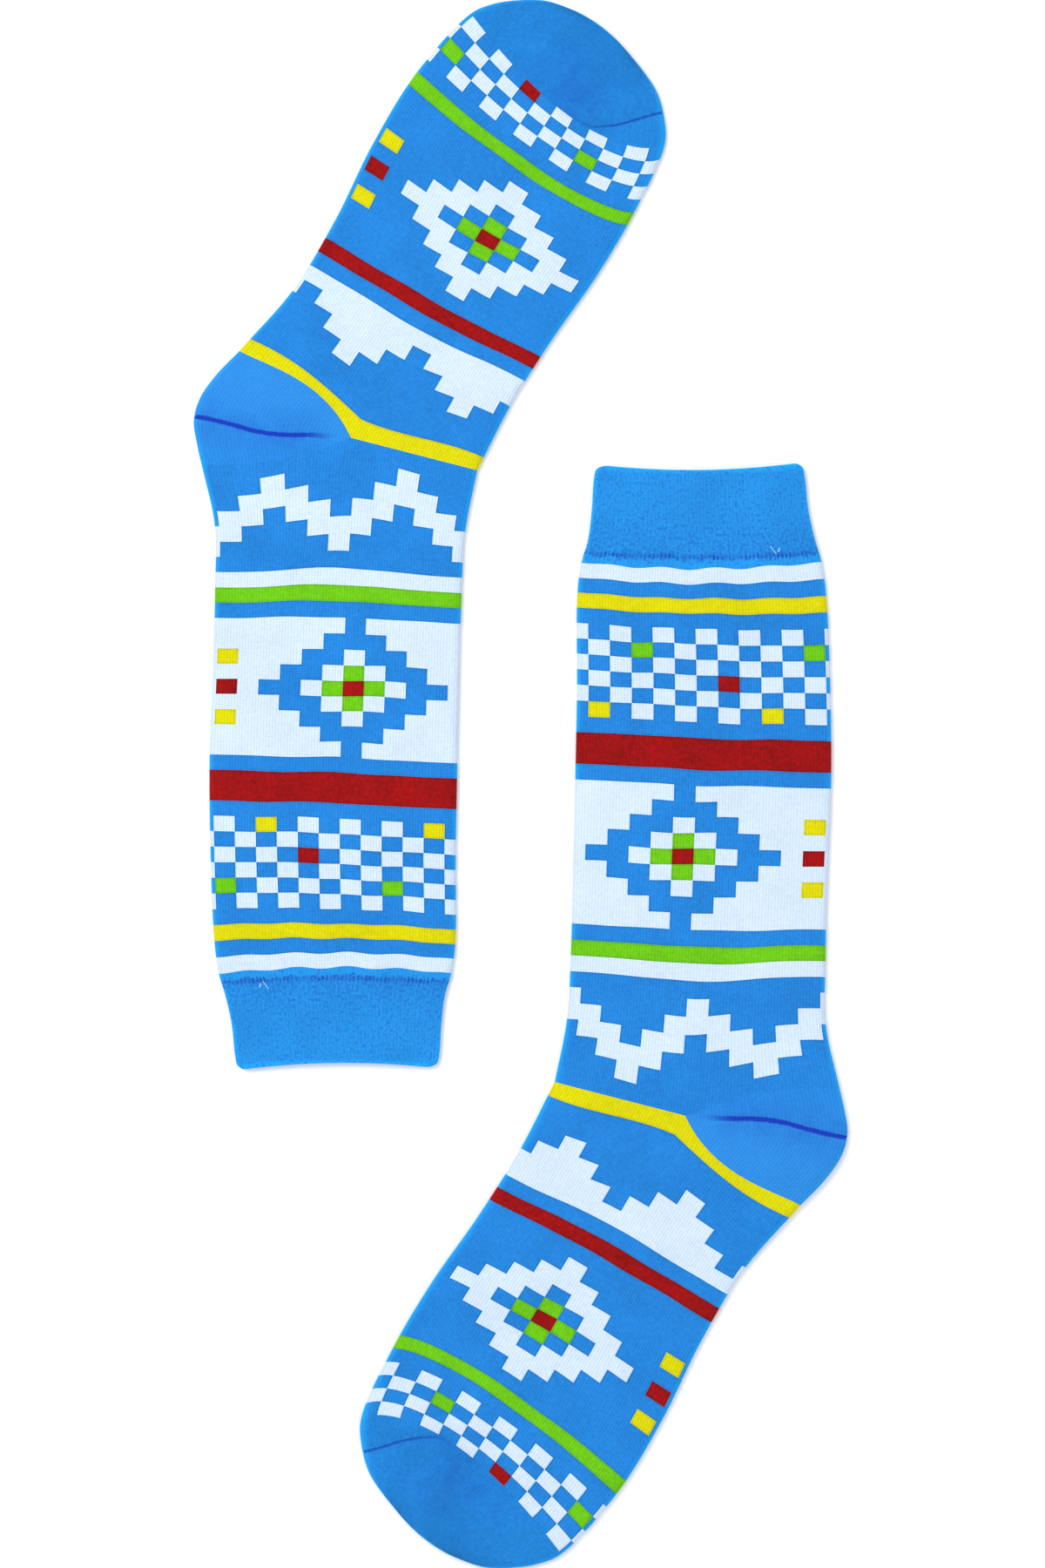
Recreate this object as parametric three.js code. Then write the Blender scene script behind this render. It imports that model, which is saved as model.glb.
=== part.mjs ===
// A pair of knitted crew socks, laid flat on their sides with the toes pointing opposite ways.
// Each sock is a flattened hollow tube: a double cuff, a leg, a turned heel, a foot and a closed toe.
// Millimetres, +Z up. The socks lie on Z = 0 and the middle of the pair is over the origin.
import * as THREE from 'three';

// Cloth
const WALL = 1.3;            // one knitted layer
const CUFF_WALL = 1.5;       // the cuff is knitted double
const EDGE_HEIGHT = 3.8;     // both layers and the air between them, at the folded edges
const CROWN = 0.9;           // how much higher the middle of the width stands
const EDGE_RADIUS = EDGE_HEIGHT / 2;
const SEAM_GAP = 0.3;        // between neighbouring pieces

// One sock as it lies. The origin is beside the tip of the heel gore, +Y runs up the leg,
// and the toes point towards -X and -Y. Each section is one knitted course,
// given by where it meets the front edge and the back edge.
const LEG_SECTIONS = [
  { at: 'cuff top', frontX: -32.0, frontY: 246.0, backX: 41.3, backY: 246.9 },
  { at: 'corner of the lip', frontX: -34.9, frontY: 244.7, backX: 43.4, backY: 245.3 },
  { at: 'below the lip', frontX: -35.8, frontY: 241.5, backX: 44.2, backY: 241.7 },
  { at: 'middle of the cuff', frontX: -36.7, frontY: 229.0, backX: 45.6, backY: 229.0 },
  { at: 'flare of the cuff', frontX: -38.1, frontY: 217.8, backX: 48.1, backY: 217.8 },
  { at: 'cuff joint', frontX: -40.6, frontY: 209.2, backX: 50.6, backY: 209.4 },
  { at: 'top of the leg', frontX: -42.1, frontY: 196.6, backX: 52.4, backY: 195.0 },
  { at: 'upper calf', frontX: -42.2, frontY: 161.7, backX: 53.9, backY: 158.2 },
  { at: 'calf', frontX: -42.9, frontY: 125.8, backX: 54.1, backY: 122.3 },
  { at: 'lower calf', frontX: -43.7, frontY: 91.3, backX: 52.8, backY: 88.7 },
  { at: 'shin', frontX: -44.5, frontY: 61.2, backX: 52.0, backY: 58.9 },
  { at: 'above the ankle', frontX: -46.0, frontY: 36.1, backX: 52.1, backY: 34.0 },
  { at: 'ankle', frontX: -50.6, frontY: 12.6, backX: 57.2, backY: 10.4 },
];
const CUFF_JOINT = 5;        // index of the section where the cuff meets the leg

const FOOT_SECTIONS = [
  { at: 'ankle', frontX: -50.6, frontY: 12.6, backX: 42.5, backY: -34.2 },
  { at: 'arch', frontX: -63.9, frontY: -13.3, backX: 21.2, backY: -58.5 },
  { at: 'instep', frontX: -79.9, frontY: -38.7, backX: 4.6, backY: -86.2 },
  { at: 'middle of the foot', frontX: -96.9, frontY: -62.9, backX: -9.6, backY: -115.0 },
  { at: 'ball', frontX: -111.6, frontY: -87.6, backX: -26.5, backY: -142.6 },
  { at: 'toe joint', frontX: -124.0, frontY: -115.0, backX: -48.0, backY: -166.2 },
  { at: 'little toe', frontX: -123.9, frontY: -124.8, backX: -56.0, backY: -169.8 },
  { at: 'toe cap', frontX: -121.0, frontY: -135.4, backX: -65.0, backY: -171.4 },
  { at: 'toe nails', frontX: -115.4, frontY: -144.0, backX: -77.5, backY: -171.2 },
  { at: 'toe end', frontX: -109.5, frontY: -150.8, backX: -89.5, backY: -166.9 },
];
const TOE_JOINT = 5;         // index of the section where the foot meets the toe

// The outline of the heel pouch, from the last leg course to the first foot course.
const HEEL_EDGE = [
  { x: 57.2, y: 10.4 },
  { x: 59.0, y: 2.5 },
  { x: 60.3, y: -7.0 },
  { x: 58.0, y: -15.5 },
  { x: 52.0, y: -24.3 },
  { x: 42.5, y: -34.2 },
];
const GORE_TIP = new THREE.Vector2(-1.3, 0);
const GORE_START = 0.8;      // the heel piece starts this far from the tip
const GORE_U = 0.5;          // the heel takes the back half of the stitches

// How far from the heel the courses of a limb still bend towards the gore tip, and how the heel's
// border with the limb bows off the straight line from the tip to the back edge.
const LEG_BEND = { reach: 28, bow: { size: 3.5, skew: 1, reach: 14 } };
const FOOT_BEND = { reach: 24, bow: { size: -5.6, skew: 1.4, reach: 8 } };
const KINK_REACH = 4;        // past this the bend at the gore column is a round one

// How the courses bow at the toe joint, at the closed end and at the cuff's lip.
const TOE_BOW = 12;
const TOE_BOW_SKEW = 0.7;
const TOE_END_BOW = 1.5;
const LIP_DIP = 2.1;

// Where the leg is drawn in under the cuff, its courses sag and are softly gathered.
const SAG = { depth: 2.5, below: 40, above: 12 };
const GATHERS = { waves: 4.5, start: -Math.PI / 2, sideways: 0.5, height: 0.35, below: 10, above: 4 };

// Where the cloth stands up a little, and where it is drawn in along a seam line.
const PUFFS = [
  { at: 'heel pouch', x: 32, y: -10, radius: 28, height: 2.0 },
  { at: 'toe cap', x: -94, y: -146, radius: 22, height: 1.1 },
];
const CREASES = [
  {
    at: 'heel gore',
    depth: 0.6,
    halfWidth: 3.2,
    line: [{ x: 58, y: -8.3 }, { x: 35, y: -2.3 }, { x: 13, y: -1 }],
  },
  {
    at: 'toe seam',
    depth: 0.7,
    halfWidth: 3.6,
    line: [{ x: -123, y: -127.4 }, { x: -107, y: -122.8 }, { x: -95, y: -122 }, { x: -82, y: -131 }],
  },
];

// How finely each piece is divided.
const TOP_COLUMNS = 12;      // across the upper layer, half of them in front of the gore
const UNDER_COLUMNS = 12;    // across the flat lower layer
const EDGE_ANGLES = [0, Math.PI / 4, Math.PI / 2];
const ROWS = { cuff: 8, leg: 18, heel: 8, foot: 14, toe: 9 };
const TIP_ANGLES = [Math.PI / 4, Math.PI / 8];   // the toe end rounds down over these
const INNER_TIP_STEP = 0.2;  // between the rows that close the toe's inner skin
const NUDGE = 0.01;          // share of a course or limb used to find a direction
const HAIR = 1e-6;           // keeps a course on its own side of the toe joint

// Placing: the lower sock is a little more stretched than the upper one.
const SOCKS = [
  { name: 'upper_sock', x: -65.7, y: 131.0, turn: Math.PI, stretch: 0.968 },
  { name: 'lower_sock', x: 63.3, y: -125.4, turn: 0, stretch: 1.0 },
];

const FINISH = {
  cuff: { color: 0x2896ea, roughness: 0.9 },
  leg: { color: 0x2a8ee8, roughness: 0.88 },
  heel: { color: 0x3c94ef, roughness: 0.9 },
  foot: { color: 0x2a8ee8, roughness: 0.88 },
  toe: { color: 0x2a84de, roughness: 0.9 },
};

// Numbers and curves

function steps(count) {
  return Array.from({ length: count + 1 }, (_, i) => i / count);
}

// From a to b, with short steps at both ends.
function easedSteps(a, b, count) {
  return steps(count).map((k) => a + (b - a) * 0.5 * (1 - Math.cos(Math.PI * k)));
}

function evenSteps(a, b, count) {
  return steps(count).map((k) => a + (b - a) * k);
}

function smooth(x) {
  return x * x * (3 - 2 * x);
}

// 0 at both ends and 1 where it is fullest, which is nearer to the start the larger the skew is.
function arch(x, skew = 1) {
  const w = THREE.MathUtils.clamp(x, 0, 1);
  const fullest = 1 / (1 + skew);
  return (w / fullest) * ((1 - w) / (1 - fullest)) ** skew;
}

function curveThrough(points) {
  const spots = points.map((p) => new THREE.Vector3(p.x, p.y, 0));
  const curve = new THREE.CatmullRomCurve3(spots, false, 'centripetal');
  return (s) => {
    const p = curve.getPoint(THREE.MathUtils.clamp(s, 0, 1));
    return new THREE.Vector2(p.x, p.y);
  };
}

function distanceToLine(point, line) {
  let nearest = Infinity;
  for (let i = 0; i + 1 < line.length; i += 1) {
    const a = new THREE.Vector2(line[i].x, line[i].y);
    const run = new THREE.Vector2(line[i + 1].x, line[i + 1].y).sub(a);
    const along = THREE.MathUtils.clamp(point.clone().sub(a).dot(run) / run.lengthSq(), 0, 1);
    nearest = Math.min(nearest, point.distanceTo(a.addScaledVector(run, along)));
  }
  return nearest;
}

// The flat plan of the sock

// A limb is a run of sections: s goes from 0 at its first section to 1 at its last.
// heelEnd is the s of the course where it meets the heel.
function makeLimb(sections, heelEnd, bend) {
  const front = curveThrough(sections.map((c) => ({ x: c.frontX, y: c.frontY })));
  const back = curveThrough(sections.map((c) => ({ x: c.backX, y: c.backY })));
  const middle = (s) => front(s).lerp(back(s), 0.5);
  const fromHeel = (s) => middle(s).distanceTo(middle(heelEnd));
  const gore = goreBeside(front(heelEnd), back(heelEnd));
  const heelBack = back(heelEnd);
  return { front, back, middle, fromHeel, gore, heelBack, ...bend };
}

// Where the gore tip lies beside the straight line from the front edge to the back edge.
function goreBeside(front, back) {
  const across = back.clone().sub(front);
  const toTip = GORE_TIP.clone().sub(front);
  const share = toTip.dot(across) / across.lengthSq();
  const lift = across.cross(toTip) / across.length();
  return { share, lift };
}

const LEG = makeLimb(LEG_SECTIONS, 1, LEG_BEND);
const FOOT = makeLimb(FOOT_SECTIONS, 0, FOOT_BEND);
const JOINT_S = CUFF_JOINT / (LEG_SECTIONS.length - 1);
const TOE_S = TOE_JOINT / (FOOT_SECTIONS.length - 1);
const LAST_STRETCH = 1 / (FOOT_SECTIONS.length - 1);
const JOINT_Y = LEG.middle(JOINT_S).y;

// 1 at the gore column and 0 at both edges: a sharp peak close to the gore, a round one far off.
function peak(u, kink) {
  const x = u < GORE_U ? u / GORE_U : (1 - u) / (1 - GORE_U);
  return THREE.MathUtils.lerp(smooth(x), x, kink);
}

// How strongly a course feels the cuff joint, by how far it lies from it.
function fading(y, { below, above }) {
  const under = JOINT_Y - y;
  return under > 0 ? Math.exp(-under / below) : Math.exp(under / above);
}

function gatherWave(u) {
  return Math.sin(2 * Math.PI * GATHERS.waves * u + GATHERS.start) * Math.sin(Math.PI * u) ** 0.5;
}

// How far a point of the heel's border with a limb lies off the straight line from the gore tip.
function heelBow(limb, u) {
  const run = limb.heelBack.clone().sub(GORE_TIP);
  const off = new THREE.Vector2(-run.y, run.x).normalize();
  return off.multiplyScalar(limb.bow.size * arch((u - GORE_U) / (1 - GORE_U), limb.bow.skew));
}

function pointOnCourse(limb, s, u, bend) {
  const front = limb.front(s);
  const back = limb.back(s);
  const distance = limb.fromHeel(s);
  const nearness = Math.exp(-distance / limb.reach);
  const share = THREE.MathUtils.lerp(GORE_U, limb.gore.share, nearness);
  const t = u < GORE_U ? (u / GORE_U) * share : 1 - ((1 - u) / (1 - GORE_U)) * (1 - share);
  const across = back.clone().sub(front);
  const towardsCuff = new THREE.Vector2(-across.y, across.x).normalize();
  const lift = limb.gore.lift * nearness * peak(u, Math.exp(-distance / KINK_REACH)) + bend;
  const point = front.lerp(back, t).addScaledVector(towardsCuff, lift);
  return point.addScaledVector(heelBow(limb, u), Math.exp(-distance / limb.bow.reach));
}

function legPoint(s, u) {
  const { y } = LEG.middle(s);
  const lip = s < JOINT_S ? LIP_DIP * (1 - s / JOINT_S) ** 2 : 0;
  const sag = SAG.depth * fading(y, SAG);
  const gather = GATHERS.sideways * fading(y, GATHERS) * gatherWave(u);
  return pointOnCourse(LEG, s, u, gather - (sag + lip) * arch(u));
}

function footPoint(s, u) {
  const round = s < TOE_S ? (s / TOE_S) ** 3 : (1 - (s - TOE_S) / (1 - TOE_S)) ** 2;
  const end = smooth(THREE.MathUtils.clamp(1 - (1 - s) / LAST_STRETCH, 0, 1));
  const bow = TOE_BOW * round * arch(u ** TOE_BOW_SKEW) - TOE_END_BOW * end * arch(u);
  return pointOnCourse(FOOT, s, u, bow);
}

const heelEdge = curveThrough(HEEL_EDGE);

// Heel courses fan out from the gore tip: s is 0 on the leg side and 1 on the foot side.
function heelPoint(s, u) {
  const share = (u - GORE_U) / (1 - GORE_U);
  const point = GORE_TIP.clone().lerp(heelEdge(s), share);
  return point.addScaledVector(heelBow(LEG, u), (1 - s) ** 2).addScaledVector(heelBow(FOOT, u), s ** 2);
}

// Height of the upper skin over the table

function topHeight(plan, u) {
  let height = EDGE_HEIGHT + CROWN * (1 - (2 * u - 1) ** 4);
  for (const puff of PUFFS) {
    const away = Math.hypot(plan.x - puff.x, plan.y - puff.y) / puff.radius;
    height += puff.height * Math.exp(-away * away);
  }
  for (const crease of CREASES) {
    const near = 1 - distanceToLine(plan, crease.line) / crease.halfWidth;
    height -= crease.depth * smooth(Math.max(0, near));
  }
  return height + GATHERS.height * fading(plan.y, GATHERS) * gatherWave(u);
}

// Sections of the flattened tube

// Columns run over the top from the front edge to the back edge, then under it to the front again.
// edge is 1 beside the front edge, 2 beside the back edge and 0 between them.
function tubeColumns() {
  const inner = (count) => steps(count).slice(1, -1);
  const atFront = EDGE_ANGLES.map((angle) => ({ edge: 1, angle }));
  const atBack = EDGE_ANGLES.map((angle) => ({ edge: 2, angle })).reverse();
  const across = (count) => inner(count).map((u) => ({ edge: 0, u, angle: Math.PI / 2 }));
  const top = [...atFront, ...across(TOP_COLUMNS), ...atBack];
  const under = [...atBack.slice(0, -1).reverse(), ...across(UNDER_COLUMNS).reverse(), ...atFront.slice(1).reverse()];
  return [...top.map((c) => ({ ...c, side: 1 })), ...under.map((c) => ({ ...c, side: -1 }))];
}

// The same columns for the heel, which is open at the gore tip: only the back half of the width.
function heelColumns() {
  return tubeColumns().filter((c) => c.edge === 2 || (c.edge === 0 && c.u >= GORE_U));
}

// One point of a skin. inset is 0 for the outer skin and the wall's thickness for the inner one.
function skinPoint(planAt, s, column, inset, tip) {
  const middle = planAt(s, GORE_U);
  let u = column.u;
  if (column.edge > 0) {
    const edgeU = column.edge === 1 ? 0 : 1;
    const half = planAt(s, edgeU).distanceTo(middle);
    const from = inset + (EDGE_RADIUS - inset) * (1 - Math.cos(column.angle));
    u = Math.abs(edgeU - (GORE_U * from) / half);
  }
  const plan = planAt(s, u);
  const height = topHeight(plan, u);
  const swell = Math.sin(column.angle) * Math.sin(tip);
  const z = height / 2 + column.side * (height / 2 - inset) * swell;
  return { point: new THREE.Vector3(plan.x, plan.y, z), u };
}

// The direction in the plan that leads from a course into its piece, square to the course.
function intoPiece(planAt, s, u, inward) {
  const along = planAt(s, Math.min(1, u + NUDGE)).sub(planAt(s, Math.max(0, u - NUDGE)));
  const square = new THREE.Vector2(-along.y, along.x).normalize();
  const ahead = planAt(s + NUDGE * inward, GORE_U).sub(planAt(s, GORE_U));
  return square.multiplyScalar(Math.sign(square.dot(ahead)));
}

// A row of a skin. Rows at the ends of a piece move half a seam gap into the piece.
function skinRow(planAt, columns, row, inset) {
  return columns.map((column) => {
    const { point, u } = skinPoint(planAt, row.s, column, inset, row.tip ?? Math.PI / 2);
    if (row.inward) {
      const into = intoPiece(planAt, row.s, u, row.inward).multiplyScalar(SEAM_GAP / 2);
      point.add(new THREE.Vector3(into.x, into.y, 0));
    }
    return point;
  });
}

function rowsBetween(values) {
  const last = values.length - 1;
  return values.map((s, i) => ({ s, inward: i === 0 ? 1 : i === last ? -1 : 0 }));
}

// Solids from skins

// Collects points and triangles, and turns the result inside out if its volume is negative.
function solidFrom(build) {
  const corners = [];
  const add = (point) => corners.push(point) - 1;
  const faces = [];
  build(add, (a, b, c) => faces.push([a, b, c]));
  const volume = faces.reduce((sum, [a, b, c]) => {
    const normal = new THREE.Vector3().crossVectors(corners[b], corners[c]);
    return sum + corners[a].dot(normal) / 6;
  }, 0);
  const outward = volume > 0 ? faces : faces.map(([a, b, c]) => [a, c, b]);
  const geometry = new THREE.BufferGeometry();
  geometry.setAttribute('position', new THREE.Float32BufferAttribute(corners.flatMap((p) => p.toArray()), 3));
  geometry.setIndex(outward.flat());
  geometry.computeVertexNormals();
  return geometry;
}

// Two triangles between each pair of neighbouring points of two rows.
function stitch(rowA, rowB, around, face) {
  const count = around ? rowA.length : rowA.length - 1;
  for (let i = 0; i < count; i += 1) {
    const j = (i + 1) % rowA.length;
    face(rowA[i], rowA[j], rowB[j]);
    face(rowA[i], rowB[j], rowB[i]);
  }
}

function closeWithFan(row, corners, add, face) {
  const middle = corners.reduce((sum, p) => sum.add(p), new THREE.Vector3()).divideScalar(corners.length);
  const hub = add(middle);
  for (let i = 0; i < row.length; i += 1) {
    face(row[i], row[(i + 1) % row.length], hub);
  }
}

// A length of flattened tube with a wall, open at both ends, or closed at its last row.
function tubeSolid(outerRows, innerRows, closed) {
  return solidFrom((add, face) => {
    const outer = outerRows.map((row) => row.map(add));
    const inner = innerRows.map((row) => row.map(add));
    const flipped = (a, b, c) => face(a, c, b);
    for (let i = 0; i + 1 < outer.length; i += 1) {
      stitch(outer[i], outer[i + 1], true, face);
      stitch(inner[i], inner[i + 1], true, flipped);
    }
    stitch(inner[0], outer[0], true, face);
    if (closed) {
      closeWithFan(outer.at(-1), outerRows.at(-1), add, face);
      closeWithFan(inner.at(-1), innerRows.at(-1), add, flipped);
    } else {
      stitch(outer.at(-1), inner.at(-1), true, face);
    }
  });
}

// A piece of cloth with a wall that doesn't close into a tube.
function sheetSolid(outerRows, innerRows) {
  return solidFrom((add, face) => {
    const outer = outerRows.map((row) => row.map(add));
    const inner = innerRows.map((row) => row.map(add));
    const flipped = (a, b, c) => face(a, c, b);
    for (let i = 0; i + 1 < outer.length; i += 1) {
      stitch(outer[i], outer[i + 1], false, face);
      stitch(inner[i], inner[i + 1], false, flipped);
    }
    stitch(inner[0], outer[0], false, face);
    stitch(outer.at(-1), inner.at(-1), false, face);
    stitch(outer.map((row) => row[0]), inner.map((row) => row[0]), false, face);
    stitch(inner.map((row) => row.at(-1)), outer.map((row) => row.at(-1)), false, face);
  });
}

// The pieces of one sock

function tubePiece(planAt, rows, wall) {
  const columns = tubeColumns();
  const outer = rows.map((row) => skinRow(planAt, columns, row, 0));
  const inner = rows.map((row) => skinRow(planAt, columns, row, wall));
  return tubeSolid(outer, inner, false);
}

function makeCuff() {
  const rows = rowsBetween(easedSteps(0, JOINT_S, ROWS.cuff));
  rows[0].inward = 0;
  return tubePiece(legPoint, rows, CUFF_WALL);
}

function makeLeg() {
  return tubePiece(legPoint, rowsBetween(easedSteps(JOINT_S, 1, ROWS.leg)), WALL);
}

function makeFoot() {
  return tubePiece(footPoint, rowsBetween(easedSteps(0, TOE_S - HAIR, ROWS.foot)), WALL);
}

function makeHeel() {
  const columns = heelColumns();
  // The columns beside the gore tip start a little way out along each course.
  const started = (s, u) => {
    const reach = heelEdge(s).distanceTo(GORE_TIP);
    const start = GORE_U + (GORE_START / reach) * (1 - GORE_U);
    return heelPoint(s, Math.max(u, start));
  };
  const rows = rowsBetween(evenSteps(0, 1, ROWS.heel));
  const outer = rows.map((row) => skinRow(started, columns, row, 0));
  const inner = rows.map((row) => skinRow(started, columns, row, WALL));
  return sheetSolid(outer, inner);
}

// The toe rounds down at its end, and the inner skin stops a wall's thickness short of it.
function makeToe() {
  const columns = tubeColumns();
  const toeLength = FOOT.middle(TOE_S).distanceTo(FOOT.middle(1));
  const short = (gap) => 1 - (gap / toeLength) * (1 - TOE_S);
  const body = rowsBetween(evenSteps(TOE_S + HAIR, short(EDGE_RADIUS), ROWS.toe));
  body.at(-1).inward = 0;
  const outerTip = TIP_ANGLES.map((tip) => ({ s: short(EDGE_RADIUS * (1 - Math.cos(tip))), tip }));
  const innerTip = TIP_ANGLES.map((tip, i) => ({ s: short(EDGE_RADIUS - INNER_TIP_STEP * (i + 1)), tip }));
  const outer = [...body, ...outerTip].map((row) => skinRow(footPoint, columns, row, 0));
  const inner = [...body, ...innerTip].map((row) => skinRow(footPoint, columns, row, WALL));
  return tubeSolid(outer, inner, true);
}

const MAKERS = { cuff: makeCuff, leg: makeLeg, heel: makeHeel, foot: makeFoot, toe: makeToe };

function makeSock({ name, x, y, turn, stretch }) {
  const sock = new THREE.Group();
  for (const [piece, make] of Object.entries(MAKERS)) {
    const material = new THREE.MeshStandardMaterial({ ...FINISH[piece], metalness: 0 });
    const geometry = make().scale(stretch, stretch, 1);
    const mesh = new THREE.Mesh(geometry, material);
    mesh.name = `${name}_${piece}`;
    sock.add(mesh);
  }
  sock.rotation.z = turn;
  sock.position.set(x, y, 0);
  return sock;
}

const group = new THREE.Group();
for (const sock of SOCKS) {
  group.add(makeSock(sock));
}

// Centre the pair over the origin.
const box = new THREE.Box3().setFromObject(group, true);
const middle = box.getCenter(new THREE.Vector3());
group.position.set(-middle.x, -middle.y, -box.min.z);
group.updateMatrixWorld(true);

export default group;
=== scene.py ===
import math

import bpy
import numpy as np
from mathutils import Matrix, Vector


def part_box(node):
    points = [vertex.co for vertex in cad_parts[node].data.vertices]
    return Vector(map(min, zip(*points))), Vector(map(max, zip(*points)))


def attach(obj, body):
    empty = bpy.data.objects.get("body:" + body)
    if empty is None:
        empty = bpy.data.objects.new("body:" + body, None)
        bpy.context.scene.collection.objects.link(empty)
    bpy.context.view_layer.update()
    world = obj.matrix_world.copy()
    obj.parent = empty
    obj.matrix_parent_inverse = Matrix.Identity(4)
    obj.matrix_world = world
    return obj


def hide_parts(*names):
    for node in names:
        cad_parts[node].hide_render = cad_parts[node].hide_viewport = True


# A pair of knitted crew socks, laid flat on their sides with the toes pointing opposite ways.
# One sock is knitted piece by piece as thin shells on the plan of its solids, with its ribs,
# stitches, seams and coloured blocks. The other is a copy of it, turned round and less stretched.

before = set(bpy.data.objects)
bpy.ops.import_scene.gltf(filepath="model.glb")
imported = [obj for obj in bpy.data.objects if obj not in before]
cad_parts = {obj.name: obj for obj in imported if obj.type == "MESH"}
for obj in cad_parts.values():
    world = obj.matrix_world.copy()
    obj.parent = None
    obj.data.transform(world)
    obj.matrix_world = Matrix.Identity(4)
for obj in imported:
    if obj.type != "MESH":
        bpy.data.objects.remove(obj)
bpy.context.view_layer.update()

MM = 0.001

# Cloth, in millimetres
WALL = 1.3                   # one knitted layer
CUFF_WALL = 1.5              # the cuff is knitted double
EDGE_HEIGHT = 3.8            # both layers and the air between them, at the folded edges
CROWN = 0.9                  # how much higher the middle of the width stands
FOLD_RADIUS = EDGE_HEIGHT / 2
FOLD_CLOTH = FOLD_RADIUS * math.pi / 2   # cloth in a quarter turn of the folded edge
SEAM_GAP = 0.005             # left at each end of a piece, where it meets its neighbour
WELD = 0.002                 # points nearer than this are one point

# One sock as it lies, in millimetres. The origin is beside the tip of the heel gore, +Y runs up
# the leg, and the toes point towards -X and -Y. A row is one knitted course, given by where it
# meets the front edge and the back edge: front x, front y, back x, back y.
LEG_SECTIONS = [
    (-32.0, 246.0, 41.3, 246.9),     # cuff top
    (-34.9, 244.7, 43.4, 245.3),     # corner of the lip
    (-35.8, 241.5, 44.2, 241.7),     # below the lip
    (-36.7, 229.0, 45.6, 229.0),     # middle of the cuff
    (-38.1, 217.8, 48.1, 217.8),     # flare of the cuff
    (-40.6, 209.2, 50.6, 209.4),     # cuff joint
    (-42.1, 196.6, 52.4, 195.0),     # top of the leg
    (-42.2, 161.7, 53.9, 158.2),     # upper calf
    (-42.9, 125.8, 54.1, 122.3),     # calf
    (-43.7, 91.3, 52.8, 88.7),       # lower calf
    (-44.5, 61.2, 52.0, 58.9),       # shin
    (-46.0, 36.1, 52.1, 34.0),       # above the ankle
    (-50.6, 12.6, 57.2, 10.4),       # ankle
]
CUFF_JOINT = 5               # index of the section where the cuff meets the leg

FOOT_SECTIONS = [
    (-50.6, 12.6, 42.5, -34.2),      # ankle
    (-63.9, -13.3, 21.2, -58.5),     # arch
    (-79.9, -38.7, 4.6, -86.2),      # instep
    (-96.9, -62.9, -9.6, -115.0),    # middle of the foot
    (-111.6, -87.6, -26.5, -142.6),  # ball
    (-124.0, -115.0, -48.0, -166.2),  # toe joint
    (-123.9, -124.8, -56.0, -169.8),  # little toe
    (-121.0, -135.4, -65.0, -171.4),  # toe cap
    (-115.4, -144.0, -77.5, -171.2),  # toe nails
    (-109.5, -150.8, -89.5, -166.9),  # toe end
]
TOE_JOINT = 5                # index of the section where the foot meets the toe

# The outline of the heel pouch, from the last leg course to the first foot course.
HEEL_EDGE = [(57.2, 10.4), (59.0, 2.5), (60.3, -7.0), (58.0, -15.5), (52.0, -24.3), (42.5, -34.2)]
HEEL_DEPTH = 50              # along that outline
GORE_TIP = np.array([-1.3, 0.0])
GORE_START = 0.15            # the heel starts this far from the tip
GORE_U = 0.5                 # the heel takes the back half of the stitches

# How far from the heel the courses of a limb still bend towards the gore tip.
LEG_BEND_REACH = 28
FOOT_BEND_REACH = 24
KINK_REACH = 4               # past this the bend at the gore column is a round one

# How the heel's border with a limb bows off the straight line from the gore tip to the back edge:
# how far, how much nearer to the tip than to the edge, and how far into the limb it still shows.
LEG_BOW = (3.5, 1.0, 14)
FOOT_BOW = (-5.6, 1.4, 8)

# How the courses bow at the toe joint, at the closed end and at the cuff's lip.
TOE_BOW = 12
TOE_BOW_SKEW = 0.7
TOE_END_BOW = 1.5
LIP_DIP = 2.1

# Where the leg is drawn in under the cuff, its courses sag and are softly gathered.
SAG_DEPTH = 2.5
SAG_BELOW = 40
SAG_ABOVE = 12
GATHER_WAVES = 4.5
GATHER_SIDEWAYS = 0.5
GATHER_HEIGHT = 0.35
GATHER_BELOW = 10
GATHER_ABOVE = 4
WAVY_BELOW = 24              # the courses themselves stay wavy further down
PUCKER_WAVES = 13
PUCKER_HEIGHT = 0.12

# Elsewhere the courses wander a little: how far, and how many waves across and along the piece.
WANDERS = [(0.28, 1.7, 2.3), (0.16, 3.1, 5.2)]

# Where the cloth stands up a little: x, y, radius, height.
PUFFS = [
    (32, -10, 28, 2.0),      # heel pouch
    (-94, -146, 22, 1.1),    # toe cap
]

# The lines that the seams run along, from the folded edge inwards.
HEEL_GORE = [(58.8, -8.3), (53.9, -7.3), (44.6, -5.0), (35.4, -2.4), (26.1, -1.2), (13, -1.0), (5, -0.4)]
TOE_SEAM = [(-123, -127.4), (-117, -125.8), (-107, -122.8), (-99, -121.7), (-94, -122), (-82, -131)]

# The cloth is drawn in along them: the line, how deep, and half the width.
SEAM_HOLLOWS = [
    (HEEL_GORE, 0.6, 3.2),
    (TOE_SEAM, 0.7, 3.6),
]
UNSEEN = 99                  # a distance past which a seam doesn't show

# The two cut ends of the thread that closes the cuff's welt.
THREAD_ENDS = [
    [(31.0, 215.3), (33.0, 212.5)],
    [(34.5, 214.8), (33.9, 213.1)],
]

# Long soft swells in the upper layer: how high, how long, which way they run, and where they start.
SWELLS = [
    (0.10, 58, 20, 0.3),
    (0.08, 41, 100, 1.9),
    (0.07, 31, 150, 4.2),
    (0.05, 23, 65, 2.6),
]

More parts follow.
